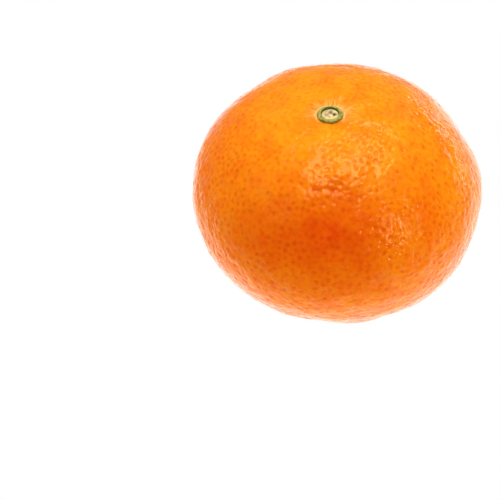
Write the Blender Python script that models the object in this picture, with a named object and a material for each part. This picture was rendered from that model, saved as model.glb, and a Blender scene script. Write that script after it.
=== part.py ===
"""Whole mandarin, resting on its blossom end with the stem end up.

Three pieces: the fruit in its rind, the green calyx that stays on its stem end, and the
pale woody end of the snapped stalk inside the calyx. Metres, +Z up. The origin is level
with the small flat spot that the fruit rests on, in the middle of the fruit's box in
plan. The front of the fruit faces -Y.
"""

import math
import random

import bmesh
import bpy
from mathutils import Matrix, Vector, noise

MM = 0.001

# Driving dimensions of the fruit
WIDTH = 68.0 * MM  # across the equator
HEIGHT = 53.0 * MM  # pole to pole, before the flat spot is pressed in
LEAN_DEG = 2.9  # the body leans this far towards +X
FOOT_RISE = 0.95 * MM  # how much of the blossom end the flat spot takes away
FOOT_ROUNDING = 0.5 * MM  # height over which the flat spot blends into the body
GAP = 0.3 * MM  # between two pieces that touch

# Where the stalk grew, off the middle of the body as on most fruit
STEM_X = -1.5 * MM
STEM_Y = -0.4 * MM

# Stem end: a shallow basin, and a level seat for the calyx
BASIN_RADIUS = 8.5 * MM
BASIN_DEPTH = 0.75 * MM
SEAT_RADIUS = 3.3 * MM
SEAT_DEPTH = 0.75 * MM
SEAT_WALL = 0.5 * MM  # width of the slope round the seat

# Furrows that run out of the seat, deeper at the back than at the front
FURROWS = 21
FURROW_DEPTH = 0.36 * MM
FURROW_REACH = 3.3 * MM
FURROW_WIDTH = 0.2 * MM
FURROW_FLARE = 0.06  # widening for each unit of length away from the stalk
FURROW_WANDER = 0.28  # share of a step by which a furrow leaves its even place
FURROW_FRONT_LOSS = 0.3
FURROW_SEED = 7

# The segments show through the rind as faint lobes, on the shoulders round the basin
LOBES = 10
LOBE_HEIGHT = 0.12 * MM
LOBE_RING = 11.0 * MM
LOBE_FADE = 8.5 * MM
LOBE_TURN = 0.6

# Blossom end: the scar left by the flower's style, opposite the stalk
SCAR_X = -1.2 * MM
SCAR_Y = 0.3 * MM
SCAR_RADIUS = 1.3 * MM
SCAR_FLOOR_RADIUS = 0.4 * MM
SCAR_DEPTH = 0.45 * MM

# Uneven growth: broad swellings that follow a smooth noise
SWELL_SIZE = 15.0 * MM
SWELL_HEIGHT = 0.34 * MM
SWELL_PLACE = Vector((3.1, 7.7, 1.9))

# Dents and swellings: azimuth from the front, counted towards +X, then height above the
# equator, both in degrees, then radius and height in millimetres
DENTS = (
    (62, 47, 7.0, -0.4),  # right shoulder
    (6, 63, 5.0, 0.32),  # swelling on the front shoulder
    (-2, 48, 4.5, -0.3),  # hollow below it
    (-9, -35, 6.0, -0.6),  # the low front, and so on round the fruit
    (13, -34, 5.0, 0.3),
    (29, -31, 5.0, -0.35),
    (50, -24, 7.0, 0.3),
    (72, -12, 6.0, -0.35),
    (88, 8, 7.0, 0.3),
    (112, 14, 5.5, -0.45),
    (130, 24, 6.0, 0.25),
    (148, 31, 6.5, -0.3),
    (-170, 34, 6.0, -0.3),
    (-153, 31, 6.5, 0.25),
    (-137, 30, 8.0, -0.45),
    (-100, 20, 9.0, 0.3),
    (-62, -30, 9.0, 0.3),
    (178, -15, 10.0, -0.4),
)

# Mesh of the fruit: steps round it, rings down it, and how far rings crowd to the poles
STEPS_ROUND = 96
RINGS = 58
RING_CROWDING = 0.2

# Calyx: a cup with a round rim, its heights measured up from the seat
CALYX_RADIUS = 2.95 * MM
CALYX_HEIGHT = 1.3 * MM
CALYX_FOOT_RADIUS = 2.3 * MM
CUP_RADIUS = 1.95 * MM
CUP_FLOOR = 0.7 * MM
RIM_ROUNDING = 0.4 * MM
SEPALS = 5
SEPAL_NOTCH = 0.06  # share of the radius that is worn away between two sepals
SEPAL_RISE = 0.07 * MM
CALYX_STEPS = 40

# Snapped end of the stalk, inside the calyx
STUB_RADIUS = 1.6 * MM
STUB_TOP = 1.32 * MM
STUB_EDGE = 0.2 * MM
STUB_DISH = 0.1 * MM
STUB_ROUGHNESS = 0.08 * MM
STUB_STEPS = 28
STUB_SEED = 3

# Points along a quarter turn of a rounded edge
QUARTER_STEPS = 4

# Colours and surface values
RIND_COLOUR = (0.93, 0.24, 0.008, 1.0)
CALYX_COLOUR = (0.17, 0.2, 0.03, 1.0)
WOOD_COLOUR = (0.62, 0.48, 0.22, 1.0)
RIND_SHEEN = 0.38
CALYX_SHEEN = 0.55
WOOD_SHEEN = 0.8

RADIUS = WIDTH / 2
HALF_HEIGHT = HEIGHT / 2
LEAN = Matrix.Rotation(math.radians(LEAN_DEG), 3, "Y")


def clear_scene():
    for obj in list(bpy.data.objects):
        bpy.data.objects.remove(obj)


def plain_material(name, colour, roughness):
    material = bpy.data.materials.new(name)
    material.use_nodes = True
    shader = material.node_tree.nodes["Principled BSDF"]
    shader.inputs["Base Color"].default_value = colour
    shader.inputs["Roughness"].default_value = roughness
    shader.inputs["Metallic"].default_value = 0.0
    return material


def add_piece(name, mesh_data, material):
    """Turns a bmesh into a named, smooth-shaded object."""
    bmesh.ops.recalc_face_normals(mesh_data, faces=mesh_data.faces)
    mesh = bpy.data.meshes.new(name)
    mesh_data.to_mesh(mesh)
    mesh_data.free()
    mesh.shade_smooth()
    mesh.materials.append(material)
    obj = bpy.data.objects.new(name, mesh)
    bpy.context.scene.collection.objects.link(obj)
    return obj


def bell(distance, width):
    """1 at no distance, and smoothly down to nothing past the width."""
    return math.exp(-((distance / width) ** 2))


def smooth_step(value, low, high):
    """Smoothly from 0 at the low value to 1 at the high one."""
    share = min(max((value - low) / (high - low), 0.0), 1.0)
    return share * share * (3 - 2 * share)


def on_sphere(azimuth_deg, height_deg):
    """Unit vector at an azimuth from the front and a height above the equator."""
    azimuth = math.radians(azimuth_deg)
    height = math.radians(height_deg)
    level = math.cos(height)
    return Vector((math.sin(azimuth) * level, -math.cos(azimuth) * level, math.sin(height)))


def towards(x, y, side):
    """Direction of the body's point over (side 1) or under (side -1) a place in plan."""
    shift = side * HALF_HEIGHT * math.sin(math.radians(LEAN_DEG))
    return Vector(((x - shift) / RADIUS, y / RADIUS, side)).normalized()


def on_body(direction):
    """Point of the plain oblate body in a direction, and its outward normal."""
    point = Vector((direction.x * RADIUS, direction.y * RADIUS, direction.z * HALF_HEIGHT))
    normal = Vector((direction.x / RADIUS, direction.y / RADIUS, direction.z / HALF_HEIGHT))
    return LEAN @ point, (LEAN @ normal).normalized()


def placed_dents():
    """The dents as centre, radius and height, with each centre a point on the body."""
    placed = []
    for azimuth, height_deg, radius, rise in DENTS:
        centre, _ = on_body(on_sphere(azimuth, height_deg))
        placed.append((centre, radius * MM, rise * MM))
    return placed


def drawn_furrows():
    """Furrows round the stem end: angle, length and depth of each, drawn from a seed."""
    draw = random.Random(FURROW_SEED)
    step = 2 * math.pi / FURROWS
    furrows = []
    for i in range(FURROWS):
        angle = (i + draw.uniform(-FURROW_WANDER, FURROW_WANDER)) * step
        reach = FURROW_REACH * draw.uniform(0.55, 1.5)
        depth = FURROW_DEPTH * draw.uniform(0.5, 1.2)
        furrows.append((angle, reach, depth))
    return furrows


def furrow_relief(away, angle, furrows):
    """Depth of the furrows at a distance and an angle from the stalk."""
    start = smooth_step(away, SEAT_RADIUS - SEAT_WALL / 2, SEAT_RADIUS + SEAT_WALL)
    strength = start * (1 - FURROW_FRONT_LOSS + FURROW_FRONT_LOSS * math.sin(angle))
    width = FURROW_WIDTH + FURROW_FLARE * away
    relief = 0.0
    for centre, reach, depth in furrows:
        turn = (angle - centre + math.pi) % (2 * math.pi) - math.pi
        relief -= depth * bell(turn * away, width) * bell(away - SEAT_RADIUS, reach)
    return relief * strength


def stem_relief(point, furrows):
    """Relief of the stem end: the basin, the furrows and the lobes."""
    dx = point.x - STEM_X
    dy = point.y - STEM_Y
    away = math.hypot(dx, dy)
    angle = math.atan2(dy, dx)
    basin = -BASIN_DEPTH * bell(away, BASIN_RADIUS)
    lobes = LOBE_HEIGHT * bell(away - LOBE_RING, LOBE_FADE) * math.cos(LOBES * angle + LOBE_TURN)
    return basin + lobes + furrow_relief(away, angle, furrows)


def fruit_surface(direction, dents, furrows):
    """Point of the finished rind in a direction, with the body's middle at the origin."""
    point, normal = on_body(direction)
    relief = SWELL_HEIGHT * noise.noise(point / SWELL_SIZE + SWELL_PLACE)
    if direction.z > 0:
        relief += stem_relief(point, furrows)
    for centre, radius, rise in dents:
        relief += rise * bell((point - centre).length, radius)
    return point + normal * relief


def seat_height(point, seat_level):
    """Height of a point of the stem end, lowered to a level seat under the calyx."""
    away = math.hypot(point.x - STEM_X, point.y - STEM_Y)
    share = 1 - smooth_step(away, SEAT_RADIUS - SEAT_WALL, SEAT_RADIUS)
    return point.z + (seat_level - point.z) * share


def foot_height(point, foot_level):
    """Height of a point of the blossom end, pressed to a level foot, with the scar."""
    above = point.z - foot_level
    overlap = max(FOOT_ROUNDING - abs(above), 0.0) / FOOT_ROUNDING
    height = max(above, 0.0) + overlap * overlap * FOOT_ROUNDING / 4
    away = math.hypot(point.x - SCAR_X, point.y - SCAR_Y)
    scar = SCAR_DEPTH * (1 - smooth_step(away, SCAR_FLOOR_RADIUS, SCAR_RADIUS))
    return foot_level + height + scar


def crowd_rings(direction, stem_direction, scar_direction):
    """Crowds the sphere's rings to its poles, and turns these to the stalk and the scar."""
    polar = math.acos(min(max(direction.z, -1.0), 1.0))
    polar -= RING_CROWDING * math.sin(2 * polar)
    around = math.atan2(direction.y, direction.x)
    level = math.sin(polar)
    height = math.cos(polar)
    crowded = Vector((math.cos(around) * level, math.sin(around) * level, height))
    pole = stem_direction if height > 0 else scar_direction
    turned = pole - Vector((0.0, 0.0, math.copysign(1.0, height)))
    return (crowded + turned * height * height).normalized()


def middle_of(mesh_data):
    """Middle of the box round all vertices."""
    low = Vector(min(v.co[axis] for v in mesh_data.verts) for axis in range(3))
    high = Vector(max(v.co[axis] for v in mesh_data.verts) for axis in range(3))
    return (low + high) / 2


def make_fruit():
    """The fruit in its rind, grown in one piece. Returns it, and where its stalk grew."""
    dents = placed_dents()
    furrows = drawn_furrows()
    stem_direction = towards(STEM_X, STEM_Y, 1)
    scar_direction = towards(SCAR_X, SCAR_Y, -1)
    seat_level = fruit_surface(stem_direction, dents, furrows).z - SEAT_DEPTH
    foot_level = FOOT_RISE - HALF_HEIGHT
    body = bmesh.new()
    bmesh.ops.create_uvsphere(body, u_segments=STEPS_ROUND, v_segments=RINGS, radius=1.0)
    for vertex in body.verts:
        direction = crowd_rings(vertex.co.normalized(), stem_direction, scar_direction)
        point = fruit_surface(direction, dents, furrows)
        if direction.z > 0:
            point.z = seat_height(point, seat_level)
        else:
            point.z = foot_height(point, foot_level)
        vertex.co = point
    middle = middle_of(body)
    to_foot = Vector((-middle.x, -middle.y, -foot_level))
    bmesh.ops.translate(body, verts=body.verts, vec=to_foot)
    fruit = add_piece("fruit", body, plain_material("rind", RIND_COLOUR, RIND_SHEEN))
    return fruit, Vector((STEM_X, STEM_Y, seat_level)) + to_foot


def arc(centre, radii, start_deg, end_deg):
    """Points of (radius, height) along part of an ellipse."""
    quarters = abs(end_deg - start_deg) / 90
    steps = round(QUARTER_STEPS * quarters)
    points = []
    for i in range(steps + 1):
        turn = math.radians(start_deg + (end_deg - start_deg) * i / steps)
        across = centre[0] + radii[0] * math.cos(turn)
        height = centre[1] + radii[1] * math.sin(turn)
        points.append((across, height))
    return points


def turn_profile(profile, steps):
    """Spins a profile of (radius, height) points, which starts and ends on the axis."""
    turned = bmesh.new()
    points = [turned.verts.new((radius, 0.0, height)) for radius, height in profile]
    edges = [turned.edges.new(pair) for pair in zip(points, points[1:])]
    bmesh.ops.spin(
        turned,
        geom=points + edges,
        cent=(0, 0, 0),
        axis=(0, 0, 1),
        angle=2 * math.pi,
        steps=steps,
        use_merge=True,
    )
    bmesh.ops.remove_doubles(turned, verts=turned.verts, dist=0.001 * MM)
    return turned


def make_calyx(seat):
    """The calyx: a small green cup with a round rim and five worn sepals."""
    rim_level = CALYX_HEIGHT - RIM_ROUNDING
    rim_middle = (CALYX_RADIUS + CUP_RADIUS) / 2
    rim_half = (CALYX_RADIUS - CUP_RADIUS) / 2
    flare = (CALYX_RADIUS - CALYX_FOOT_RADIUS, rim_level - GAP)
    profile = [(0.0, GAP), (CALYX_FOOT_RADIUS / 2, GAP)]
    profile += arc((CALYX_FOOT_RADIUS, rim_level), flare, -90, 0)
    profile += arc((rim_middle, rim_level), (rim_half, RIM_ROUNDING), 0, 180)[1:]
    profile += [(CUP_RADIUS, CUP_FLOOR), (CUP_RADIUS / 2, CUP_FLOOR), (0.0, CUP_FLOOR)]
    cup = turn_profile(profile, CALYX_STEPS)
    for vertex in cup.verts:
        away = math.hypot(vertex.co.x, vertex.co.y)
        wave = math.cos(SEPALS * math.atan2(vertex.co.y, vertex.co.x))
        outward = smooth_step(away, CUP_RADIUS, CALYX_RADIUS)
        upward = (vertex.co.z - GAP) / (CALYX_HEIGHT - GAP)
        worn = 1 - SEPAL_NOTCH * outward * (1 - wave) / 2
        vertex.co.x *= worn
        vertex.co.y *= worn
        vertex.co.z += SEPAL_RISE * outward * upward * wave
    calyx = add_piece("calyx", cup, plain_material("calyx", CALYX_COLOUR, CALYX_SHEEN))
    calyx.location = seat
    return calyx


def make_stalk_stub(seat):
    """The snapped end of the stalk: a low woody plug with a dished, uneven top."""
    foot = CUP_FLOOR + GAP
    edge_middle = (STUB_RADIUS - STUB_EDGE, STUB_TOP - STUB_EDGE)
    profile = [(0.0, foot), (STUB_RADIUS / 2, foot), (STUB_RADIUS, foot)]
    profile += arc(edge_middle, (STUB_EDGE, STUB_EDGE), 0, 90)
    profile += [(STUB_RADIUS / 2, STUB_TOP - STUB_DISH), (0.0, STUB_TOP - STUB_DISH)]
    plug = turn_profile(profile, STUB_STEPS)
    draw = random.Random(STUB_SEED)
    for vertex in plug.verts:
        if vertex.co.z > STUB_TOP - STUB_EDGE:
            vertex.co.z += draw.uniform(-1, 1) * STUB_ROUGHNESS
    stub = add_piece("stalk_stub", plug, plain_material("stalk_wood", WOOD_COLOUR, WOOD_SHEEN))
    stub.location = seat
    return stub


def main():
    clear_scene()
    fruit, seat = make_fruit()
    for piece in (make_calyx(seat), make_stalk_stub(seat)):
        piece.parent = fruit


main()
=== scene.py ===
# %% [markdown]
# This file dresses a whole mandarin for its photograph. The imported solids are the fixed
# frame: the fruit, the green calyx on its stem end and the woody end of the stalk inside
# it. The cells below place the camera and the light, and then make a finer piece for each
# solid and a finish for each piece. Each code cell prints what it made or measured.
# Lengths are in metres, apart from the values whose comment says millimetres. +Z is up,
# and the front of the fruit faces -Y.

# %% Load the frame
import math

import bmesh
import bpy
import numpy as np
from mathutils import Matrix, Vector, noise
from mathutils.bvhtree import BVHTree
from mathutils.kdtree import KDTree


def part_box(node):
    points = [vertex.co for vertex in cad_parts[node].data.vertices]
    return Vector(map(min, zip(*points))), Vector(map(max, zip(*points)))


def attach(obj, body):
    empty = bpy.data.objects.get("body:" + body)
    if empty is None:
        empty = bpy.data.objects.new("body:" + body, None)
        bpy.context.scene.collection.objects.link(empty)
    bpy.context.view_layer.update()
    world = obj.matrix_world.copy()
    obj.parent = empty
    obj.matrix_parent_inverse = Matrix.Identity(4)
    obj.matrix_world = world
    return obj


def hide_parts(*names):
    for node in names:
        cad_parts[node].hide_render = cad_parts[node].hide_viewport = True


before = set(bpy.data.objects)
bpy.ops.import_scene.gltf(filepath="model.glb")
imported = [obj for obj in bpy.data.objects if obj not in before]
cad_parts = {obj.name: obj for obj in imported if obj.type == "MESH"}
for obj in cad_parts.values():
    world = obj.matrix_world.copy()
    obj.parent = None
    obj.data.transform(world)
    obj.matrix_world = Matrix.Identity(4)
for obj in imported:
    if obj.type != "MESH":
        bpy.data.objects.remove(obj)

MM = 0.001
scene = bpy.context.scene
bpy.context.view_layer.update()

# %% [markdown]
# The photograph was taken from above the front with a long lens, so the fruit is barely
# distorted. The camera here stands on the same line. It is first aimed at the middle of
# the fruit, and then turned a little, so that the middle falls on its own pixel of the
# photograph and not in the centre of the picture. A lens shift would do the same, but it
# would stay in every other view.

# %% Camera
IMAGE_SIDE = 500
FRUIT_PIXEL = (337.4, 190.8)
LENS = 120.0
SENSOR = 36.0
CLIP_START = 0.01
CLIP_END = 50.0
CAMERA_HEIGHT_DEG = 48.0
CAMERA_DISTANCE = 392.7 * MM
AIM = Vector((0.0, 0.0, 25.8 * MM))
FORWARD = Vector((0.0, 0.0, -1.0))


def direction_of(azimuth_deg, height_deg):
    """Unit vector at an azimuth from the front, counted towards +X, and a height."""
    azimuth = math.radians(azimuth_deg)
    height = math.radians(height_deg)
    level = math.cos(height)
    return Vector((math.sin(azimuth) * level, -math.cos(azimuth) * level, math.sin(height)))


camera = bpy.data.objects.new("camera", bpy.data.cameras.new("camera"))
scene.collection.objects.link(camera)
scene.camera = camera
camera.data.lens = LENS
camera.data.sensor_width = SENSOR
camera.data.clip_start = CLIP_START
camera.data.clip_end = CLIP_END
focal_pixels = LENS / SENSOR * IMAGE_SIDE
from_fruit = direction_of(0.0, CAMERA_HEIGHT_DEG)
off_centre = Vector((
    (FRUIT_PIXEL[0] - IMAGE_SIDE / 2) / focal_pixels,
    (IMAGE_SIDE / 2 - FRUIT_PIXEL[1]) / focal_pixels,
    -1.0,
))
camera.location = AIM + from_fruit * CAMERA_DISTANCE
camera.rotation_mode = "QUATERNION"
aimed = (-from_fruit).to_track_quat("-Z", "Y")
camera.rotation_quaternion = aimed @ off_centre.rotation_difference(FORWARD)
print("camera at", [round(x, 3) for x in camera.location])

# %% [markdown]
# The fruit lay on a white table in a dim room with two soft lamps, a large one overhead
# and a narrow one at the front right. Two pale walls, on the left and behind, fill in the
# sides that the lamps leave dark. They light the skin but aren't mirrored in it, because a
# mirrored wall would lie over the colour as a haze. A low strip behind the right side does
# the opposite: it is only mirrored, and draws the bright threads along the right rim. The
# lamps are area lights that the camera doesn't see. Their power is worked out from the
# brightness that their faces should have, so that a lamp can be resized on its own.

# %% Light


def softbox(name, azimuth_deg, height_deg, distance, sides, brightness, shines=True, lights=True):
    """A rectangular lamp that faces the fruit, with a face of the given brightness."""
    lamp = bpy.data.lights.new(name, "AREA")
    lamp.shape = "RECTANGLE"
    lamp.size, lamp.size_y = sides
    lamp.energy = brightness * math.pi * sides[0] * sides[1]
    towards_lamp = direction_of(azimuth_deg, height_deg)
    obj = bpy.data.objects.new(name, lamp)
    obj.location = AIM + towards_lamp * distance
    obj.rotation_euler = (-towards_lamp).to_track_quat("-Z", "Y").to_euler()
    obj.visible_glossy = shines
    obj.visible_diffuse = lights
    obj.visible_camera = False
    scene.collection.objects.link(obj)


softbox("lamp_overhead", 130.0, 82.0, 0.9, (0.42, 0.76), 6.6)
softbox("lamp_front_right", 53.0, 29.0, 0.7, (0.09, 0.42), 11.0)
softbox("strip_right", 128.0, -2.3, 0.3, (0.27, 0.024), 6.0, lights=False)
softbox("wall_left", -100.0, 35.0, 1.2, (2.0, 1.4), 0.95, shines=False)
softbox("wall_behind", 175.0, 35.0, 1.4, (2.4, 1.2), 0.8, shines=False)

# %% [markdown]
# Every material is built from nodes by a few small helpers. Most take the tree that they
# add to, and the numbers, vectors or other nodes' outputs that feed the new node. Laid
# out by hand, the same nodes would take several lines each, and hide what they are for.

# %% Helpers for node trees


def feed(tree, socket, value):
    """Links another node's output to a socket, or sets the socket to a plain value."""
    if isinstance(value, bpy.types.NodeSocket):
        tree.links.new(value, socket)
    else:
        socket.default_value = value


def math_node(tree, operation, *values):
    """The result of a Math node."""
    node = tree.nodes.new("ShaderNodeMath")
    node.operation = operation
    for socket, value in zip(node.inputs, values):
        feed(tree, socket, value)
    return node.outputs[0]


def product(tree, first, second):
    """Two values multiplied."""
    return math_node(tree, "MULTIPLY", first, second)


def vector_math(tree, operation, first, second, output="Vector"):
    """One output of a Vector Math node."""
    node = tree.nodes.new("ShaderNodeVectorMath")
    node.operation = operation
    feed(tree, node.inputs[0], first)
    feed(tree, node.inputs[1], second)
    return node.outputs[output]


def map_range(tree, value, low, high, to_low=0.0, to_high=1.0):
    """A value that goes smoothly from one end to the other between low and high."""
    node = tree.nodes.new("ShaderNodeMapRange")
    node.interpolation_type = "SMOOTHSTEP"
    feed(tree, node.inputs["Value"], value)
    feed(tree, node.inputs["From Min"], low)
    feed(tree, node.inputs["From Max"], high)
    feed(tree, node.inputs["To Min"], to_low)
    feed(tree, node.inputs["To Max"], to_high)
    return node.outputs["Result"]


def noise_cloud(tree, place, scale, detail):
    """The value of a Noise Texture at a place."""
    node = tree.nodes.new("ShaderNodeTexNoise")
    feed(tree, node.inputs["Vector"], place)
    feed(tree, node.inputs["Scale"], scale)
    feed(tree, node.inputs["Detail"], detail)
    return node.outputs["Fac"]


def object_place(tree):
    """The place of the shaded point in the object's own coordinates."""
    return tree.nodes.new("ShaderNodeTexCoord").outputs["Object"]


def new_finish(name, shader_values):
    """A material with a Principled shader whose plain values are set on its sockets."""
    material = bpy.data.materials.new(name)
    material.use_nodes = True
    shader = material.node_tree.nodes["Principled BSDF"]
    for label, value in shader_values.items():
        shader.inputs[label].default_value = value
    return material.node_tree, shader, material


print("node helpers ready")

# %% [markdown]
# The table glows softly round the fruit, which lights the flanks from below. The rind
# mirrors only a smaller patch of it, along the rim, where a glossy skin is seen at a
# grazing angle. So the rim is bright, and the skin inside it keeps its full colour.
#
# The picture's background is plain white, with no horizon and no shadow. A white table
# that is lit would never come out as even. So the camera sees plain white in the place of
# the table and the room, and they still light the fruit and are mirrored in it.

# %% Table and room
FLOOR_HALF = 1.6
FLOOR_GAP = 0.05 * MM
FLOOR_COLOUR = (0.2, 0.2, 0.2, 1.0)
ROOM_COLOUR = (0.15, 0.15, 0.15, 1.0)
WHITE_LIGHT = (1.0, 1.0, 1.0, 1.0)
GLOW_CENTRE = (0.02, 0.024, 0.0)
LIT_GLOW = (0.1, 0.3, 1.85)  # radius of the even part, radius of the whole, and brightness
MIRRORED_GLOW = (0.055, 0.13, 1.45)


def white_to_camera(tree, plain_type, real_shader, end_node):
    """Ends a shader tree so that the camera sees plain white in place of the real shader."""
    plain = tree.nodes.new(plain_type)
    plain.inputs["Color"].default_value = WHITE_LIGHT
    ray = tree.nodes.new("ShaderNodeLightPath")
    pick = tree.nodes.new("ShaderNodeMixShader")
    tree.links.new(ray.outputs["Is Camera Ray"], pick.inputs["Fac"])
    tree.links.new(real_shader, pick.inputs[1])
    tree.links.new(plain.outputs[0], pick.inputs[2])
    tree.links.new(pick.outputs["Shader"], end_node.inputs["Surface"])


sheet = bmesh.new()
bmesh.ops.create_grid(sheet, x_segments=1, y_segments=1, size=FLOOR_HALF)
floor_mesh = bpy.data.meshes.new("floor")
sheet.to_mesh(floor_mesh)
sheet.free()
floor = bpy.data.objects.new("floor", floor_mesh)
floor.location.z = -FLOOR_GAP
scene.collection.objects.link(floor)

floor_tree, floor_shader, floor_material = new_finish(
    "floor",
    {
        "Base Color": FLOOR_COLOUR,
        "Roughness": 0.9,
        "Specular IOR Level": 0.0,
        "Emission Color": WHITE_LIGHT,
    },
)
floor_mesh.materials.append(floor_material)
reach = vector_math(floor_tree, "DISTANCE", object_place(floor_tree), GLOW_CENTRE, "Value")
floor_ray = floor_tree.nodes.new("ShaderNodeLightPath")
glow = floor_tree.nodes.new("ShaderNodeMix")
floor_tree.links.new(floor_ray.outputs["Is Glossy Ray"], glow.inputs["Factor"])
# Inputs 2 and 3 are the two numbers that the Mix node mixes.
for socket, (inner, outer, brightness) in zip(glow.inputs[2:4], (LIT_GLOW, MIRRORED_GLOW)):
    feed(floor_tree, socket, map_range(floor_tree, reach, inner, outer, brightness, 0.0))
floor_tree.links.new(glow.outputs["Result"], floor_shader.inputs["Emission Strength"])
floor_out = floor_tree.nodes["Material Output"]
white_to_camera(floor_tree, "ShaderNodeEmission", floor_shader.outputs["BSDF"], floor_out)

world = bpy.data.worlds.new("studio")
scene.world = world
world.use_nodes = True
world_tree = world.node_tree
world_tree.nodes.clear()
room = world_tree.nodes.new("ShaderNodeBackground")
room.inputs["Color"].default_value = ROOM_COLOUR
world_out = world_tree.nodes.new("ShaderNodeOutputWorld")
white_to_camera(world_tree, "ShaderNodeBackground", room.outputs["Background"], world_out)
scene.view_settings.view_transform = "Standard"
print("table and room ready, table side in m:", 2 * FLOOR_HALF)

# %% [markdown]
# The rind starts as a cube whose faces are cut into a fine grid and blown up to a ball. A
# ball made from rings would have tiny triangles at its poles, and one of them would sit
# right at the stalk, where the eye goes first. The grid is spread almost evenly over the
# ball, and then drawn together round the stalk, where the wrinkles are finest.

# %% A ball of even small faces
GRID_CUTS = 127
GATHER = 0.6
GATHER_RADIUS = math.radians(12.0)
SEAT_GAP = 0.3 * MM
TINY = 1e-9

stub_low, stub_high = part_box("stalk_stub")
calyx_low, calyx_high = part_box("calyx")
fruit_low, fruit_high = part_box("fruit")
stem = Vector((
    (stub_low.x + stub_high.x) / 2,
    (stub_low.y + stub_high.y) / 2,
    calyx_low.z - SEAT_GAP,
))
middle = (fruit_low + fruit_high) / 2


def read_points(mesh):
    """The mesh's vertices as an array with a row for each."""
    flat = np.empty(len(mesh.vertices) * 3)
    mesh.vertices.foreach_get("co", flat)
    return flat.reshape(-1, 3)


def write_points(mesh, points):
    """Moves the mesh's vertices to the rows of an array."""
    mesh.vertices.foreach_set("co", points.astype(np.float32).ravel())
    mesh.update()


def unit(vectors):
    """Each row scaled to length 1."""
    return vectors / np.linalg.norm(vectors, axis=1, keepdims=True)


ball = bmesh.new()
bmesh.ops.create_cube(ball, size=2.0)
bmesh.ops.subdivide_edges(ball, edges=ball.edges[:], cuts=GRID_CUTS, use_grid_fill=True)
rind_mesh = bpy.data.meshes.new("rind")
ball.to_mesh(rind_mesh)
ball.free()
directions = unit(np.tan(read_points(rind_mesh) * math.pi / 4))
stem_way = np.array((stem + Vector((0, 0, SEAT_GAP)) - middle).normalized())
cosine = np.clip(directions @ stem_way, -1, 1)
angle = np.arccos(cosine)
gathered = angle * (1 - GATHER * np.exp(-((angle / GATHER_RADIUS) ** 2)))
sideways = directions - cosine[:, None] * stem_way
sideways /= np.maximum(np.linalg.norm(sideways, axis=1), TINY)[:, None]
directions = np.cos(gathered)[:, None] * stem_way + np.sin(gathered)[:, None] * sideways
print("rind faces:", len(rind_mesh.polygons))

# %% [markdown]
# The ball is now laid on the solid fruit, as a skin is. The solid's flat facets would show
# through, so a copy of it is merged, turned back into four-sided faces and smoothed with a
# Subdivision Surface first. Each point of the ball then looks outwards from the middle,
# and goes to where its line meets that smooth form.

# %% Lay the ball on the solid fruit
FORM_LEVELS = 2
MERGE_DISTANCE = 0.001 * MM
QUAD_ANGLE = math.radians(40)
BASIN_REACH = 9.0 * MM
BASIN_BELOW = 3.0 * MM
BASIN_SMOOTHINGS = 4

form_data = bmesh.new()
form_data.from_mesh(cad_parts["fruit"].data)
bmesh.ops.remove_doubles(form_data, verts=form_data.verts, dist=MERGE_DISTANCE)
basin = [
    vertex
    for vertex in form_data.verts
    if vertex.co.z > stem.z - BASIN_BELOW and (vertex.co - stem).length < BASIN_REACH
]
for _ in range(BASIN_SMOOTHINGS):
    bmesh.ops.smooth_vert(
        form_data, verts=basin, factor=0.5, use_axis_x=True, use_axis_y=True, use_axis_z=True
    )
bmesh.ops.join_triangles(
    form_data,
    faces=form_data.faces,
    angle_face_threshold=QUAD_ANGLE,
    angle_shape_threshold=QUAD_ANGLE,
)
form_mesh = bpy.data.meshes.new("form")
form_data.to_mesh(form_mesh)
form_data.free()
form = bpy.data.objects.new("form", form_mesh)
scene.collection.objects.link(form)
smooth_form = form.modifiers.new("smooth", "SUBSURF")
smooth_form.levels = FORM_LEVELS
smooth_form.render_levels = FORM_LEVELS
form_tree = BVHTree.FromObject(form, bpy.context.evaluated_depsgraph_get())


def on_form(ways):
    """Points of the smooth form in each direction from its middle."""
    found = [form_tree.ray_cast(middle, Vector(way))[0] for way in ways]
    return np.array(found)


points = on_form(directions)
bpy.data.objects.remove(form)
skin_span = points[:, 2].min() / MM, points[:, 2].max() / MM
print("skin laid, heights in mm:", [round(height, 2) for height in skin_span])

# %% [markdown]
# Mandarin rind is full of oil glands, small round sacs under the skin that dimple it about
# every two millimetres. They are scattered, but never touch, as if each one pushed its
# neighbours away. That is also how they are placed here: random points on the ball push
# each other apart a few times. One point of the skin is then drawn to each gland, with
# its neighbours, so that every dimple has a vertex at its bottom.

# %% Scatter the oil glands
GLANDS = 3500
GLAND_SEED = 11
PUSHES = 6
PUSH_SHARE = 0.22
NEIGHBOURS = 7
NEAREST_PUSH = 1e-6
DRAW_RADIUS = 0.9 * MM


def tree_of(rows):
    """A search tree over an array's rows."""
    tree = KDTree(len(rows))
    for index, row in enumerate(rows):
        tree.insert(row, index)
    tree.balance()
    return tree


def pushed_apart(spots, spacing):
    """Spots on the unit ball, each moved away from neighbours that are too near."""
    tree = tree_of(spots)
    moved = spots.copy()
    for index, spot in enumerate(spots):
        for place, other, distance in tree.find_n(spot, NEIGHBOURS):
            if other != index and distance < spacing:
                apart = (spot - np.array(place)) / max(distance, NEAREST_PUSH)
                moved[index] += apart * (spacing - distance) * PUSH_SHARE
    return unit(moved)


def dish(distance, radius):
    """1 in the middle of a round dish, and smoothly down to 0 at its edge."""
    return (1 - (distance / radius) ** 2) ** 2


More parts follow.
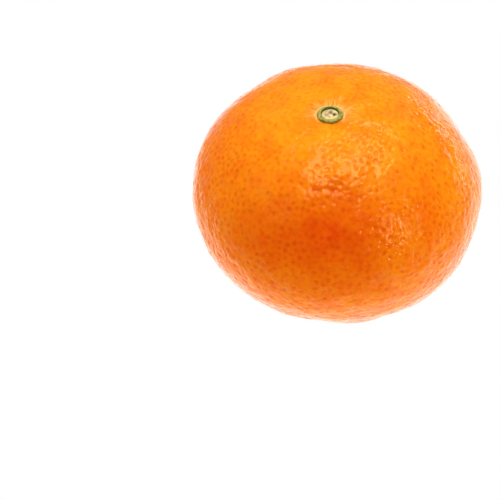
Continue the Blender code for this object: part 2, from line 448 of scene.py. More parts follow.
draw = np.random.default_rng(GLAND_SEED)
gland_ways = unit(draw.normal(size=(GLANDS, 3)))
even_spacing = math.sqrt(4 * math.pi / GLANDS * 2 / math.sqrt(3))
for _ in range(PUSHES):
    gland_ways = pushed_apart(gland_ways, even_spacing)
form_spots = on_form(gland_ways)
skin_tree = tree_of(points)
gland_vertices = [skin_tree.find(spot)[1] for spot in form_spots]
drawn = np.zeros_like(points)
for spot, vertex in zip(form_spots, gland_vertices):
    offset = spot - points[vertex]
    for _, index, distance in skin_tree.find_range(points[vertex], DRAW_RADIUS):
        drawn[index] += offset * dish(distance, DRAW_RADIUS)
points += drawn
print("glands:", GLANDS, "drawn at most, in mm:", round(np.abs(drawn).max() / MM, 2))

# %% [markdown]
# Relief is worked out as one height for each point, and the skin is moved along its
# normals once, at the end. It starts pebbled: a smooth noise at three sizes, from the
# broad unevenness that breaks up the highlights down to the grain of the rind. Each gland
# then adds its dimple. The dimples are only a third as deep near the stalk, where the
# skin is stretched tight, as they are on the flanks.

# %% Pebbles and dimples
PEBBLES = (  # size of the bumps, and their height
    (7.0 * MM, 0.11 * MM),
    (3.0 * MM, 0.13 * MM),
    (1.5 * MM, 0.04 * MM),
)
PEBBLE_PLACE = Vector((4.7, 1.3, 8.2))
DIMPLE_RADIUS = (0.65 * MM, 1.0 * MM)
DIMPLE_DEPTH = (0.02 * MM, 0.08 * MM)
TIGHT_SKIN = (5.0 * MM, 20.0 * MM)
TIGHT_SHARE = 0.35


def smooth_step(values, low, high):
    """Smoothly from 0 at the low value to 1 at the high one."""
    share = np.clip((values - low) / (high - low), 0, 1)
    return share * share * (3 - 2 * share)


def bell(distance, width):
    """1 at no distance, and smoothly down to nothing past the width."""
    return np.exp(-((distance / width) ** 2))


relief = np.zeros(len(points))
for size, height in PEBBLES:
    field = [noise.noise(Vector(point) / size + PEBBLE_PLACE) for point in points]
    relief += np.array(field) * height
skin_tree = tree_of(points)
radii = draw.uniform(*DIMPLE_RADIUS, size=GLANDS)
depths = draw.uniform(*DIMPLE_DEPTH, size=GLANDS)
from_stem = np.linalg.norm(points[gland_vertices] - np.array(stem), axis=1)
depths *= TIGHT_SHARE + (1 - TIGHT_SHARE) * smooth_step(from_stem, *TIGHT_SKIN)
dimples = np.zeros(len(points))
for vertex, radius, depth in zip(gland_vertices, radii, depths):
    for _, index, distance in skin_tree.find_range(points[vertex], radius):
        dimples[index] = max(dimples[index], depth * dish(distance, radius))
relief -= dimples
print("relief in mm:", round(relief.min() / MM, 3), "to", round(relief.max() / MM, 3))

# %% [markdown]
# The rind has one clear fault: a crease across the front shoulder, where the skin folded
# over a hollow under it as the fruit dried. It is made of three short valleys and a low
# roll, each on its own wavy line. Three broad and shallow grooves run down towards it
# from the stalk, and two shallow dents flatten the right side. Where the valleys are is
# also kept as an attribute of the skin, to paint shade into the crease as a darker,
# redder tint.

# %% The crease, the grooves and the dents
VALLEYS = (  # start and end as seen from above, width and height, all in millimetres
    ((-6.4, -18.8), (1.6, -19.4), 0.5, -0.13),
    ((-2.5, -17.5), (1.1, -18.4), 0.5, -0.16),
    ((2.3, -19.8), (5.9, -20.7), 0.4, -0.07),
)
ROLLS = (
    ((-4.0, -20.1), (1.0, -20.2), 0.5, 0.11),
)
GROOVES = (
    ((2.5, -7.5), (3.2, -18.3), 1.1, -0.2),
    ((5.6, -5.5), (8.8, -15.5), 1.0, -0.2),
    ((-7.5, -8.5), (-10.5, -13.5), 1.1, -0.12),
)
DENTS = (  # place, width and depth, all in millimetres
    ((27.3, 13.8, 36.0), 9.0, 0.5),
    ((32.6, -3.2, 19.2), 7.0, 0.9),
)
FOLD_FADE = 0.8 * MM
FOLD_WAVES = (  # length and height of the waves in each line
    (0.33 * MM, 0.07 * MM),
    (0.9 * MM, 0.14 * MM),
)
TINT_WAVE = 0.7 * MM
TINT_SWING = 0.3
FRONT_SHOULDER = 40.0 * MM
CLEARLY_FOLDED = 0.3

for place, width, depth in DENTS:
    distance = np.linalg.norm(points - np.array(place) * MM, axis=1)
    relief -= depth * MM * bell(distance, width * MM)
on_shoulder = points[:, 2] > FRONT_SHOULDER
shade_in_folds = np.zeros(len(points))
for number, (first, last, width, height) in enumerate(VALLEYS + ROLLS + GROOVES):
    first, last = np.array(first) * MM, np.array(last) * MM
    length = np.linalg.norm(last - first)
    forward = (last - first) / length
    along = (points[:, :2] - first) @ forward
    across = (points[:, :2] - first) @ np.array((-forward[1], forward[0]))
    for wave, swing in FOLD_WAVES:
        across += swing * np.sin(along / wave + number)
    started = smooth_step(along, 0, FOLD_FADE)
    ended = smooth_step(along, length - FOLD_FADE, length)
    fold_and_shade = bell(across, width * MM) * started * (1 - ended) * on_shoulder
    relief += height * MM * fold_and_shade
    if number < len(VALLEYS):
        uneven = 1 - TINT_SWING + TINT_SWING * np.sin(along / TINT_WAVE + number)
        # The valleys' shape is also kept as a mask of painted shade for the crease.
        shade_in_folds = np.maximum(shade_in_folds, fold_and_shade * uneven)
print("points in the crease:", int((shade_in_folds > CLEARLY_FOLDED).sum()))

# %% [markdown]
# Round the stalk the skin is drawn into the calyx like cloth into a button. Thin ridges
# radiate from it on the far side and on both flanks, and a few run on alone. Each ridge
# is a narrow bell across its own line, between the distances from the stalk where it
# starts and ends. Their strength is also kept as an attribute of the skin, which colours
# the ridges paler. The furrows between them get the crease's painted shade.

# %% Ridges round the stalk
CALYX_OVAL = 0.88
RIDGES = 46
RIDGE_SEED = 5
RIDGE_START = 3.05 * MM
RIDGE_LENGTH = (0.6 * MM, 2.9 * MM)
RIDGE_WIDTH = (0.1 * MM, 0.16 * MM)
RIDGE_HEIGHT = (0.05 * MM, 0.13 * MM)
RIDGE_TAPER = 3
RIDGE_JITTER = 0.35
RIDGE_SPREAD = math.radians(60)
SIDE_SHARE = 0.55
FAR_SHARE = 0.6
NEAR_SIDE_SHARE = 0.1
NEAR_SIDE = (0.2, 0.9)
TOP_BELOW = 8 * MM
FURROW_SHADE_SHARE = 0.35
FURROW_START = (3.1 * MM, 3.4 * MM)
FURROW_END = (3.6 * MM, 5.4 * MM)
FURROW_EDGES = (-0.4, 0.6)
LONE_RIDGES = (  # angle, start, end, width and height
    (31, 3.3 * MM, 5.4 * MM, 0.24 * MM, 0.22 * MM),
    (70, 5.6 * MM, 7.6 * MM, 0.3 * MM, 0.14 * MM),
    (128, 3.6 * MM, 6.4 * MM, 0.2 * MM, 0.12 * MM),
    (178, 3.5 * MM, 5.6 * MM, 0.22 * MM, 0.12 * MM),
)
plan = (points[:, :2] - np.array(stem.xy)) / np.array((1.0, CALYX_OVAL))
away = np.linalg.norm(plan, axis=1)
turn = np.arctan2(plan[:, 1], plan[:, 0])
on_top = points[:, 2] > stem.z - TOP_BELOW
near_side = smooth_step(-np.sin(turn), *NEAR_SIDE)


def ridge(turn_deg, start, end, width):
    """Strength of a ridge at each point: 1 on its line, and 0 beside and past it."""
    aside = np.angle(np.exp(1j * (turn - math.radians(turn_deg))))
    ahead = np.abs(aside) < RIDGE_SPREAD
    started = smooth_step(away, start - width, start + width)
    ended = smooth_step(away, end - RIDGE_TAPER * width, end)
    return bell(aside * away, width) * started * (1 - ended) * on_top * ahead


ridge_draw = np.random.default_rng(RIDGE_SEED)
pale = np.zeros(len(points))
for number in range(RIDGES):
    turn_deg = (number + ridge_draw.uniform(-RIDGE_JITTER, RIDGE_JITTER)) * 360 / RIDGES
    far = math.sin(math.radians(turn_deg))
    share = max(NEAR_SIDE_SHARE, SIDE_SHARE + FAR_SHARE * far)
    length = ridge_draw.uniform(*RIDGE_LENGTH) * share
    width = ridge_draw.uniform(*RIDGE_WIDTH)
    strength = ridge(turn_deg, RIDGE_START, RIDGE_START + length, width) * share
    relief += ridge_draw.uniform(*RIDGE_HEIGHT) * strength
    pale = np.maximum(pale, strength)
# The furrows between ridges get only painted shade, no relief.
furrow_shade = smooth_step(away, *FURROW_START) * (1 - smooth_step(away, *FURROW_END))
furrow_shade *= smooth_step(np.sin(turn * RIDGES / 2), *FURROW_EDGES)
furrow_shade *= on_top * (1 - near_side) * (1 - pale)
shade_in_folds = np.maximum(shade_in_folds, FURROW_SHADE_SHARE * furrow_shade)
for turn_deg, start, end, width, height in LONE_RIDGES:
    strength = ridge(turn_deg, start, end, width)
    relief += height * strength
    pale = np.maximum(pale, strength)
print("ridges:", RIDGES + len(LONE_RIDGES))

# %% [markdown]
# The skin can now be moved. Next to the calyx it also gets a lip, which stands up to the
# green rim and then dips under it, so that no gap shows. The whole skin is set a tenth of
# a millimetre inwards, and is then clipped to the solid's box. So the finished fruit
# rests on the table where the solid does, and never stands out of its box.

# %% Move the skin and close it round the calyx
INSIDE = 0.1 * MM
LIP_LEVEL = 0.72 * MM
NEAR_LIP_DROP = 0.3 * MM
LIP_BLEND = (3.15 * MM, 4.6 * MM)
LIP_RISE = 0.1 * MM
LIP_RADIUS = 3.22 * MM
LIP_WIDTH = 0.16 * MM
UNDER_LEVEL = 0.4 * MM
UNDER_WALL = (2.8 * MM, 3.12 * MM)

write_points(rind_mesh, points)
normals = np.empty(len(points) * 3)
rind_mesh.vertex_normals.foreach_get("vector", normals)
normals = normals.reshape(-1, 3)
to_lip = (1 - smooth_step(away, *LIP_BLEND)) * on_top
points[:, 2] += (stem.z + LIP_LEVEL - NEAR_LIP_DROP * near_side - points[:, 2]) * to_lip
points += normals * (relief - INSIDE)[:, None]
lip = bell(away - LIP_RADIUS, LIP_WIDTH) * on_top * (1 - near_side)
points[:, 2] += LIP_RISE * lip
to_seat = (1 - smooth_step(away, *UNDER_WALL)) * on_top
points[:, 2] += (stem.z + UNDER_LEVEL - points[:, 2]) * to_seat
points = np.clip(points, np.array(fruit_low), np.array(fruit_high))
write_points(rind_mesh, points)
rind_mesh.shade_smooth()

gland_places = points[gland_vertices]
gland_tree = tree_of(gland_places)
nearest = [gland_tree.find(face.center)[1] for face in rind_mesh.polygons]
centres = gland_places[nearest].astype(np.float32)
rind_mesh.attributes.new("gland_centre", "FLOAT_VECTOR", "FACE")
rind_mesh.attributes["gland_centre"].data.foreach_set("vector", centres.ravel())
# The middle attribute is the mask of painted shade in the crease and the furrows.
for label, values in (("ridge", pale), ("fold_and_shade", shade_in_folds), ("lip", lip)):
    rind_mesh.attributes.new(label, "FLOAT", "POINT")
    rind_mesh.attributes[label].data.foreach_set("value", values.astype(np.float32))

rind = bpy.data.objects.new("rind", rind_mesh)
scene.collection.objects.link(rind)
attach(rind, "root")
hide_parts("fruit")
print("rind box in mm:", np.round(points.min(0) / MM, 2), np.round(points.max(0) / MM, 2))

# %% [markdown]
# The finishes are built from five effects, each a node group that is made once and placed
# wherever it is needed. "patches" gives soft cloudy differences, "spot" a round mark with
# a soft edge about a centre, and "rays" fine streaks that spread from a centre. "grain"
# and "pores" give heights for a bump. The groups put out only masks and heights, and each
# material decides what they mean.

# %% Node groups that the finishes share
RAY_EDGES = (0.36, 0.62)
PORE_EDGES = (0.05, 0.5)
NUMBER = "NodeSocketFloat"
VECTOR = "NodeSocketVector"


def new_group(name, output, inputs):
    """A shader node group with one output, its input and output nodes and its inputs' values."""
    group = bpy.data.node_groups.new(name, "ShaderNodeTree")
    for label, kind, value in inputs:
        socket = group.interface.new_socket(label, in_out="INPUT", socket_type=kind)
        socket.default_value = value
    group.interface.new_socket(output, in_out="OUTPUT", socket_type=NUMBER)
    ends = group.nodes.new("NodeGroupInput").outputs
    out = group.nodes.new("NodeGroupOutput").inputs[output]
    return group, ends, out


def make_patches():
    """Cloudy differences: 0 where a noise is under the low value, 1 over the high one."""
    inputs = ("Scale", NUMBER, 100.0), ("Low", NUMBER, 0.4), ("High", NUMBER, 0.6)
    group, ends, out = new_group("patches", "Mask", inputs)
    cloud = noise_cloud(group, object_place(group), ends["Scale"], detail=3.0)
    feed(group, out, map_range(group, cloud, ends["Low"], ends["High"]))
    return group


def make_spot():
    """A round mark: 1 within the inner radius about a centre, and 0 past the outer one."""
    inputs = ("Centre", VECTOR, (0.0, 0.0, 0.0)), ("Inner", NUMBER, 0.0), ("Outer", NUMBER, MM)
    group, ends, out = new_group("spot", "Mask", inputs)
    reach = vector_math(group, "DISTANCE", object_place(group), ends["Centre"], "Value")
    feed(group, out, map_range(group, reach, ends["Inner"], ends["Outer"], 1.0, 0.0))
    return group


def make_rays():
    """Fine streaks that spread from a centre, as seen from above."""
    inputs = (
        ("Centre", VECTOR, (0.0, 0.0, 0.0)),
        ("Count", NUMBER, 12.0),
        ("Length", NUMBER, 2 * MM),
    )
    group, ends, out = new_group("rays", "Mask", inputs)
    split = group.nodes.new("ShaderNodeSeparateXYZ")
    join = group.nodes.new("ShaderNodeCombineXYZ")
    offset = vector_math(group, "SUBTRACT", object_place(group), ends["Centre"])
    feed(group, split.inputs["Vector"], offset)
    x, y = split.outputs["X"], split.outputs["Y"]
    around = math_node(group, "ARCTAN2", y, x)
    squares = math_node(
        group, "ADD", math_node(group, "POWER", x, 2.0), math_node(group, "POWER", y, 2.0)
    )
    reach = math_node(group, "SQRT", squares)
    feed(group, join.inputs["X"], product(group, around, ends["Count"]))
    feed(group, join.inputs["Y"], math_node(group, "DIVIDE", reach, ends["Length"]))
    cloud = noise_cloud(group, join.outputs["Vector"], scale=1.0, detail=1.0)
    feed(group, out, map_range(group, cloud, *RAY_EDGES))
    return group


def make_grain():
    """The height of a fine noise."""
    inputs = ("Scale", NUMBER, 2000.0), ("Height", NUMBER, 0.1)
    group, ends, out = new_group("grain", "Height", inputs)
    cloud = noise_cloud(group, object_place(group), ends["Scale"], detail=2.0)
    feed(group, out, product(group, cloud, ends["Height"]))
    return group


def make_pores():
    """The height of a surface with a small round hollow at each point of a Voronoi Texture."""
    inputs = ("Scale", NUMBER, 800.0), ("Depth", NUMBER, 0.3)
    group, ends, out = new_group("pores", "Height", inputs)
    cells = group.nodes.new("ShaderNodeTexVoronoi")
    feed(group, cells.inputs["Vector"], object_place(group))
    feed(group, cells.inputs["Scale"], ends["Scale"])
    feed(group, out, map_range(group, cells.outputs["Distance"], *PORE_EDGES, 0.0, ends["Depth"]))
    return group


groups = {
    "patches": make_patches(),
    "spot": make_spot(),
    "rays": make_rays(),
    "grain": make_grain(),
    "pores": make_pores(),
}
print("shared groups:", sorted(groups))

# %% [markdown]
# A finish is laid out in layers, as a painter would do it: one base colour, and over it
# one wash after another, each held to its own place by a mask. A wash either blends a
# colour in, or tints what is there by multiplying it, which darkens the skin and still
# lets the layers below show. Relief comes last, as one height that goes into one bump.

# %% Helpers that lay out a finish
WHITE = (1.0, 1.0, 1.0)
BUMP_UNIT = 0.1 * MM


def use_group(tree, name, **values):
    """The output of a shared group that is placed in a material."""
    node = tree.nodes.new("ShaderNodeGroup")
    node.node_tree = groups[name]
    for label, value in values.items():
        feed(tree, node.inputs[label], value)
    return node.outputs[0]


def spot_about(tree, centre, inner, outer):
    """A mask that is 1 within the inner radius about a centre, and 0 past the outer one."""
    return use_group(tree, "spot", Centre=centre, Inner=inner, Outer=outer)


def blend(tree, share, first, second, mode="MIX"):
    """Mixes two colours, each an RGB tuple or an output, by a share."""
    node = tree.nodes.new("ShaderNodeMix")
    node.data_type = "RGBA"
    node.blend_type = mode
    # A Mix node has sockets for each kind of data. 6 and 7 are the colours it mixes.
    feed(tree, node.inputs[0], share)
    for socket, colour in ((node.inputs[6], first), (node.inputs[7], second)):
        feed(tree, socket, (*colour, 1.0) if isinstance(colour, tuple) else colour)
    return node.outputs[2]


def tinted(tree, colour, share, tint):
    """A colour that is multiplied by a tint as far as the share says."""
    return blend(tree, 1.0, colour, blend(tree, share, WHITE, tint), "MULTIPLY")


def attribute(tree, name, output="Fac"):
    """One output of an Attribute node that reads the piece's own attribute."""
    node = tree.nodes.new("ShaderNodeAttribute")
    node.attribute_name = name
    return node.outputs[output]


def add_bump(tree, shader, height):
    """Bumps the shader's normal by a height that is in tenths of a millimetre."""
    node = tree.nodes.new("ShaderNodeBump")
    node.inputs["Distance"].default_value = BUMP_UNIT
    feed(tree, node.inputs["Height"], height)
    feed(tree, shader.inputs["Normal"], node.outputs["Normal"])


print("finish helpers ready")

# %% [markdown]
# Rind gets its colour from pigment in its outer skin, over white pith that scatters light
# back through it. That is why it glows and never looks painted. The shader does the same
# with a little subsurface scattering, which lets red light travel further than green. The
# colour itself is yellower on the shoulders, partly its own tone and partly painted light
# where the top is lit most. It is redder on the low flanks, partly its own tone and partly
# painted shade, and redder and darker in front, which is a painted shadow. It is cloudy at
# a few millimetres, and darker in each gland, where there is oil and no pith.
#
# The fine relief is a bump: grain at four sizes, pores, streaks round the stalk, and a pit
# over each gland. The pits are deepest in two places on the front, where they break the
# highlights into a bright network. The right one is also drawn into upright strands.

# %% Colours and sizes of the rind's finish
# Yellower on top and redder low: partly the rind's own tone, partly painted light and shade.
TOP_COLOUR_AND_LIGHT = (0.93, 0.317, 0.006)
FLANK_COLOUR = (0.93, 0.226, 0.0015)
LOW_COLOUR_AND_SHADE = (0.94, 0.165, 0.001)
# A darker red that paints a shadow over the front.
PAINTED_SHADOW_COLOUR = (0.78, 0.08, 0.001)
FLANK_HEIGHTS = (4 * MM, 24 * MM)
ZONES = (  # place, inner and outer radius in millimetres, strength and colour
    # The two yellow zones are partly the rind's own tone and partly painted light.
    ((2.0, 5.0, 50.0), 12.0, 37.0, 1.0, TOP_COLOUR_AND_LIGHT),
    ((34.0, -4.0, 34.0), 2.0, 24.0, 0.7, TOP_COLOUR_AND_LIGHT),
    # The three red zones are a painted shadow across the front.
    ((-1.0, -27.0, 41.0), 0.0, 20.0, 1.0, PAINTED_SHADOW_COLOUR),
    ((-15.0, -23.0, 37.0), 0.0, 14.0, 0.6, PAINTED_SHADOW_COLOUR),
    ((17.0, -19.0, 42.0), 0.0, 13.0, 0.2, PAINTED_SHADOW_COLOUR),
)
DRIFT_SHARE = 0.4
CLOUD_TINT = (0.99, 0.83, 0.85)
SPECK_TINT = (0.96, 0.81, 0.74)
GLAND_TINT = (0.9, 0.68, 0.5)
GLAND_RADII = (0.1 * MM, 0.8 * MM)
GLAND_DARKNESS = (0.4, 1.0)
TIGHT_RADII = (4 * MM, 22 * MM)
TIGHT_LOSS = 0.6
# Painted shade in the crease and the furrows: darker and redder.
FOLD_SHADE_TINT = (0.86, 0.5, 0.3)
PALE_COLOUR = (0.95, 0.53, 0.11)
RAY_TINT = (0.94, 0.7, 0.45)
RAY_RADII = (3.4 * MM, 7.5 * MM)
RAY_COUNT = 13.0
RAY_LENGTH = 2.2 * MM
FAR_EDGE = (stem.y - 2.5 * MM, stem.y + 0.5 * MM)
RAY_SHARE = 0.4
RIDGE_SHARE = 0.45
LIP_COLOUR = (0.85, 0.66, 0.28)
LIP_SHARE = 0.85
SCAR_COLOUR = (0.25, 0.12, 0.03)
SCAR_PLACE = Vector((-1.35, 0.37, 0.45)) * MM
SCAR_RADII = (0.5 * MM, 1.6 * MM)
GLOSS = (0.11, 0.26)
PIT_RADII = (0.05 * MM, 0.88 * MM)
PIT_DEPTH = 0.4
PIT_SINKS = (-0.5, -1.0)
DEEP_PITS = (  # place, inner and outer radius in millimetres, and the depth that is added
    ((3.5, -10.0, 50.5), 5.0, 13.0, 1.2),
    ((13.0, -25.0, 40.0), 4.0, 11.0, 0.6),
)
GRAINS = (  # scale and height of each size of grain
    (330.0, 3.0),
    (620.0, 1.6),
    (1200.0, 0.8),
    (2800.0, 0.06),
)
STREAK_HEIGHT = 0.6
STRAND_PLACE = Vector((14.0, -24.5, 39.0)) * MM
STRAND_RADII = (4.0 * MM, 13.0 * MM)
STRAND_STRETCH = (1.0, 0.3, 0.3)
STRAND_SCALE = 600.0
STRAND_HEIGHT = 4.5
print("colour zones:", len(ZONES), "sizes of grain:", len(GRAINS))

# %% [markdown]
# The rind's tree is long, so it is built in four parts: the colour of plain skin, how
# strongly each gland shows, the marks that lie over both, and the height for the bump.
# Attributes of the skin say where the glands, ridges, crease and lip are, because they
# follow the mesh. One random number for each gland makes some darker and deeper.

# %% Finish of the rind


def skin_colour(tree, level):
    """Skin colour by height, zones and clouds: painted light on top, painted shade low and in
    front.
    """
    # Redder towards the table: partly the rind's own tone and partly painted shade.
    colour = blend(tree, map_range(tree, level, *FLANK_HEIGHTS), LOW_COLOUR_AND_SHADE, FLANK_COLOUR)
    drift = use_group(tree, "patches", Scale=130.0, Low=0.3, High=0.62)
    # Zones lay yellow, partly painted light, on top and on the right flank, and painted shadow on
    # the front.
    for place, inner, outer, strength, zone_colour in ZONES:
        zone = spot_about(tree, Vector(place) * MM, inner * MM, outer * MM)
        least = (1 - DRIFT_SHARE) * strength
        uneven = math_node(tree, "MULTIPLY_ADD", drift, DRIFT_SHARE * strength, least)
        colour = blend(tree, product(tree, zone, uneven), colour, zone_colour)
    clouds = use_group(tree, "patches", Scale=230.0, Low=0.42, High=0.66)
    colour = tinted(tree, colour, clouds, CLOUD_TINT)
    specks = use_group(tree, "patches", Scale=1000.0, Low=0.44, High=0.64)
    return tinted(tree, colour, specks, SPECK_TINT)


def gland_share(tree, centre, luck):
    """How strongly each gland shows: by its luck, and less where the skin is tight."""
    gland = spot_about(tree, centre, *GLAND_RADII)
    tight = spot_about(tree, stem, *TIGHT_RADII)
    looseness = math_node(tree, "MULTIPLY_ADD", tight, -TIGHT_LOSS, 1.0)
    strength = product(tree, map_range(tree, luck, 0.0, 1.0, *GLAND_DARKNESS), looseness)
    return product(tree, gland, strength)


def marked_colour(tree, colour, rays, ray_share):
    """The skin's colour with painted shade in its crease, the rays and ridges round the stalk,
    and its scar.
    """
    # Painted shade in the crease and the furrows round the stalk.
    colour = tinted(tree, colour, attribute(tree, "fold_and_shade"), FOLD_SHADE_TINT)
    ray_colour = blend(tree, rays, blend(tree, 1.0, colour, RAY_TINT, "MULTIPLY"), PALE_COLOUR)
    colour = blend(tree, product(tree, ray_share, RAY_SHARE), colour, ray_colour)
    pale_share = product(tree, attribute(tree, "ridge"), RIDGE_SHARE)
    colour = blend(tree, pale_share, colour, PALE_COLOUR)
    scar = spot_about(tree, SCAR_PLACE, *SCAR_RADII)
    colour = blend(tree, scar, colour, SCAR_COLOUR)
    lip_share = product(tree, attribute(tree, "lip"), LIP_SHARE)
    return blend(tree, lip_share, colour, LIP_COLOUR)


def skin_height(tree, centre, luck, streaks):
    """The height of the fine relief."""
    depth = PIT_DEPTH
    for place, inner, outer, added in DEEP_PITS:
        zone = spot_about(tree, Vector(place) * MM, inner * MM, outer * MM)
        depth = math_node(tree, "MULTIPLY_ADD", zone, added, depth)
    sunk = product(tree, depth, map_range(tree, luck, 0.0, 1.0, *PIT_SINKS))
    height = product(tree, spot_about(tree, centre, *PIT_RADII), sunk)

    parts = [use_group(tree, "grain", Scale=scale, Height=rise) for scale, rise in GRAINS]
    parts.append(use_group(tree, "pores", Scale=900.0, Depth=0.2))
    parts.append(product(tree, streaks, STREAK_HEIGHT))
    stretched = vector_math(tree, "MULTIPLY", object_place(tree), STRAND_STRETCH)
    strand = noise_cloud(tree, stretched, STRAND_SCALE, detail=1.0)
    raised = product(tree, spot_about(tree, STRAND_PLACE, *STRAND_RADII), STRAND_HEIGHT)
    parts.append(product(tree, strand, raised))
    for part in parts:
        height = math_node(tree, "ADD", height, part)
    return height


def finish_rind():
    """The material of the rind."""
    tree, shader, material = new_finish(
        "rind",
        {
            "IOR": 1.34,
            "Specular Tint": (1.0, 0.9, 0.42, 1.0),
            "Subsurface Weight": 0.2,
            "Subsurface Scale": 0.6 * MM,
            "Subsurface Radius": (1.0, 0.35, 0.1),
        },
    )
    split = tree.nodes.new("ShaderNodeSeparateXYZ")
    feed(tree, split.inputs["Vector"], object_place(tree))
    centre = attribute(tree, "gland_centre", "Vector")
    lot = tree.nodes.new("ShaderNodeTexWhiteNoise")
    feed(tree, lot.inputs["Vector"], centre)
    luck = lot.outputs["Value"]
    rays = use_group(tree, "rays", Centre=stem, Count=RAY_COUNT, Length=RAY_LENGTH)
    far_side = map_range(tree, split.outputs["Y"], *FAR_EDGE)
    ray_share = product(tree, spot_about(tree, stem, *RAY_RADII), far_side)

    colour = skin_colour(tree, split.outputs["Z"])
    colour = tinted(tree, colour, gland_share(tree, centre, luck), GLAND_TINT)
    colour = marked_colour(tree, colour, rays, ray_share)
    feed(tree, shader.inputs["Base Color"], colour)
    bloom = use_group(tree, "patches", Scale=170.0, Low=0.48, High=0.66)
    feed(tree, shader.inputs["Roughness"], map_range(tree, bloom, 0.0, 1.0, *GLOSS))
    add_bump(tree, shader, skin_height(tree, centre, luck, product(tree, rays, ray_share)))
    return material


rind_mesh.materials.append(finish_rind())
print("rind finished")

# %% [markdown]
# The calyx is what is left of the flower's green cup, with five worn sepals grown into a
# ring. It is a turned shape on the real fruit too, so its profile is spun about the
# stalk. The ring is then waved by the sepals and scored by fine fibres that run down its
# flank.

# %% The calyx
CALYX_CORNERS = (  # radius and height above the seat of each corner, in millimetres
    (0.0, 0.48), (0.9, 0.48), (1.7, 0.48), (1.88, 0.6), (1.97, 0.95), (2.08, 1.2),
    (2.26, 1.29), (2.5, 1.27), (2.8, 1.14), (2.96, 0.92), (2.92, 0.6), (2.75, 0.35),
)
CALYX_STEPS = 120
PROFILE_STEPS = 4
FLANK_RADIUS = 1.95  # radius where the flank starts, and its width, in millimetres
FLANK_WIDTH = 1.0
SEPALS = 5
SEPAL_NOTCH = 0.05  # a notch is a share of the radius, and a rise is in millimetres
SEPAL_RISE = 0.03
FIBRES = 43
FIBRE_DRIFT = 3
FIBRE_NOTCH = 0.006
FIBRE_RISE = 0.012
ROUGH_SIZE = 0.5 * MM
ROUGH_NOTCH = 0.012
ROUGH_RISE = 0.03


def smooth_profile(corners, steps):
    """Points along a smooth curve through the corners of a profile."""
    dense = []
    for i in range(len(corners) - 1):
        before = corners[max(i - 1, 0)]
        start, end = corners[i], corners[i + 1]
        after = corners[min(i + 2, len(corners) - 1)]
        for step in range(steps):
            t = step / steps
            dense.append(tuple(
                0.5 * (
                    2 * b + (c - a) * t + (2 * a - 5 * b + 4 * c - d) * t * t
                    + (3 * b - a - 3 * c + d) * t**3
                )
                for a, b, c, d in zip(before, start, end, after)
            ))
    dense.append(corners[-1])
    return dense


def turned(profile, steps):
    """Spins a profile of (radius, height) points in millimetres about the stalk."""
    data = bmesh.new()
    verts = [data.verts.new((radius * MM, 0.0, height * MM)) for radius, height in profile]
    edges = [data.edges.new(pair) for pair in zip(verts, verts[1:])]
    bmesh.ops.spin(
        data,
        geom=verts + edges,
        cent=(0, 0, 0),
        axis=(0, 0, 1),
        angle=2 * math.pi,
        steps=steps,
        use_merge=True,
    )
    bmesh.ops.remove_doubles(data, verts=data.verts, dist=MERGE_DISTANCE)
    bmesh.ops.recalc_face_normals(data, faces=data.faces)
    return data


def add_small_piece(name, data, node):
    """Makes a piece of a bmesh that was modelled about the seat, and puts it in place."""
    bmesh.ops.translate(data, verts=data.verts, vec=stem)
    mesh = bpy.data.meshes.new(name)
    data.to_mesh(mesh)
    data.free()
    mesh.shade_smooth()
    obj = bpy.data.objects.new(name, mesh)
    scene.collection.objects.link(obj)
    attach(obj, "root")
    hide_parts(node)
    return obj


cup = turned(smooth_profile(CALYX_CORNERS, PROFILE_STEPS), CALYX_STEPS)
for vertex in cup.verts:
    x, y, z = vertex.co / MM
    flank = min(max((math.hypot(x, y) - FLANK_RADIUS) / FLANK_WIDTH, 0.0), 1.0)
    around = math.atan2(y, x)
    wave = math.cos(SEPALS * around)
    fibre = math.sin(FIBRES * around + FIBRE_DRIFT * noise.noise(vertex.co / MM))
    rough = noise.noise(vertex.co / ROUGH_SIZE)
    notch = SEPAL_NOTCH * (1 - wave) / 2 + FIBRE_NOTCH * fibre + ROUGH_NOTCH * rough
    scale = 1 - flank * notch
    rise = flank * (SEPAL_RISE * wave + ROUGH_RISE * rough + FIBRE_RISE * fibre)
    vertex.co = Vector((x * scale, y * scale * CALYX_OVAL, z + rise)) * MM
calyx = add_small_piece("calyx_ring", cup, "calyx")
print("calyx faces:", len(calyx.data.polygons))

# %% [markdown]
# The stalk broke off inside the calyx and left a pale woody end: a low rim of bark round
# the cut vessels, with a small dark hole where the pith dried out. It is turned like the
# calyx, and its top is then roughened and pitted by moving the points.

# %% The end of the stalk
STUB_CORNERS = (  # radius and height above the seat of each corner, in millimetres
    (0.0, 0.84), (0.5, 0.84), (1.0, 0.85), (1.4, 0.89), (1.68, 0.9),
    (1.84, 0.84), (1.9, 0.7), (1.88, 0.46),
)
STUB_TOP = 0.72  # lowest height of the worn top, in millimetres
STUB_STEPS = 96
PITH_HOLES = (  # place, radius and depth, in millimetres
    (0.95, 0.05, 0.46, 0.3),
    (0.2, 0.55, 0.42, 0.1),
    (-0.85, -0.1, 0.5, 0.06),
)
WOOD_GRAINS = (  # size of the grain, and its height in millimetres
    (0.35 * MM, 0.05),
    (0.16 * MM, 0.03),
)

plug = turned(smooth_profile(STUB_CORNERS, PROFILE_STEPS), STUB_STEPS)
for vertex in plug.verts:
    x, y, z = vertex.co / MM
    vertex.co.y *= CALYX_OVAL
    if z > STUB_TOP:
        drop = sum(
            depth * math.exp(-(((x - px) ** 2 + (y - py) ** 2) / radius**2))
            for px, py, radius, depth in PITH_HOLES
        )
        rough = sum(height * noise.noise(vertex.co / size) for size, height in WOOD_GRAINS)
        vertex.co.z = (z - drop + rough) * MM
stub = add_small_piece("stalk_end", plug, "stalk_stub")
print("stalk faces:", len(stub.data.polygons))
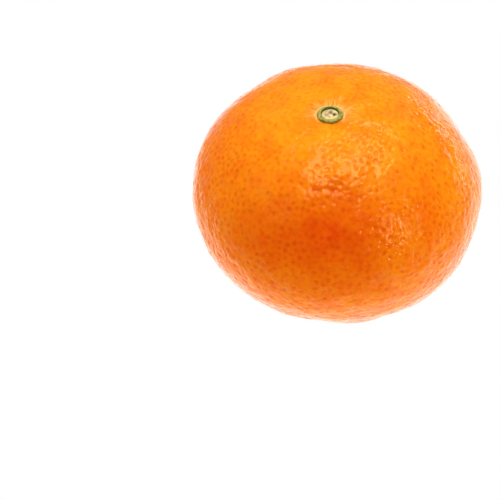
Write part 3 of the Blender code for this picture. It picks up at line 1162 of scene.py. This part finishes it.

# %% [markdown]
# The calyx is a dull waxy green, paler in patches, with painted shade, a dark olive, inside the
# ring.
# The stalk's end is dry wood, cream with brown stains round its holes. Both take their
# variation from the same shared groups as the rind.

# %% Finish of the calyx and the stalk
GREEN = (0.2, 0.205, 0.022)
LIGHT_GREEN = (0.42, 0.38, 0.08)
# A dark olive that paints shade inside the calyx's ring.
CUP_SHADE_OLIVE = (0.09, 0.09, 0.01)
CUP_FLOOR = stem + Vector((0.0, 0.0, 0.7 * MM))
CUP_RADII = (1.95 * MM, 2.2 * MM)
CREAM = (0.8, 0.62, 0.27)
TAN = (0.5, 0.33, 0.13)
MARK_INNER = 0.3  # where a mark starts and stops fading, as shares of its radius
MARK_OUTER = 1.1
PITH_MARKS = (  # place and radius in millimetres, and the colour of each mark
    (0.95, 0.1, 0.62, (0.1, 0.035, 0.012)),
    (0.1, 0.75, 0.7, (0.2, 0.17, 0.05)),
    (-0.8, -0.1, 0.8, (0.5, 0.27, 0.15)),
    (-0.1, -0.9, 0.4, (0.45, 0.28, 0.12)),
)


def finish_calyx():
    """The material of the calyx."""
    tree, shader, material = new_finish("calyx", {"Roughness": 0.5, "IOR": 1.35})
    clouds = use_group(tree, "patches", Scale=1100.0, Low=0.4, High=0.6)
    colour = blend(tree, clouds, GREEN, LIGHT_GREEN)
    # Painted shade inside the ring.
    colour = blend(tree, spot_about(tree, CUP_FLOOR, *CUP_RADII), colour, CUP_SHADE_OLIVE)
    feed(tree, shader.inputs["Base Color"], colour)
    add_bump(tree, shader, use_group(tree, "grain", Scale=4000.0, Height=0.5))
    return material


def finish_stub():
    """The material of the stalk's end."""
    tree, shader, material = new_finish("stalk_wood", {"Roughness": 0.75, "IOR": 1.4})
    clouds = use_group(tree, "patches", Scale=1600.0, Low=0.48, High=0.68)
    colour = blend(tree, clouds, CREAM, TAN)
    for x, y, radius, stain in PITH_MARKS:
        place = stem + Vector((x, y * CALYX_OVAL, STUB_TOP)) * MM
        mark = spot_about(tree, place, MARK_INNER * radius * MM, MARK_OUTER * radius * MM)
        colour = blend(tree, mark, colour, stain)
    feed(tree, shader.inputs["Base Color"], colour)
    add_bump(tree, shader, use_group(tree, "grain", Scale=5000.0, Height=0.8))
    return material


calyx.data.materials.append(finish_calyx())
stub.data.materials.append(finish_stub())
print("finishes:", sorted(m.name for m in bpy.data.materials))
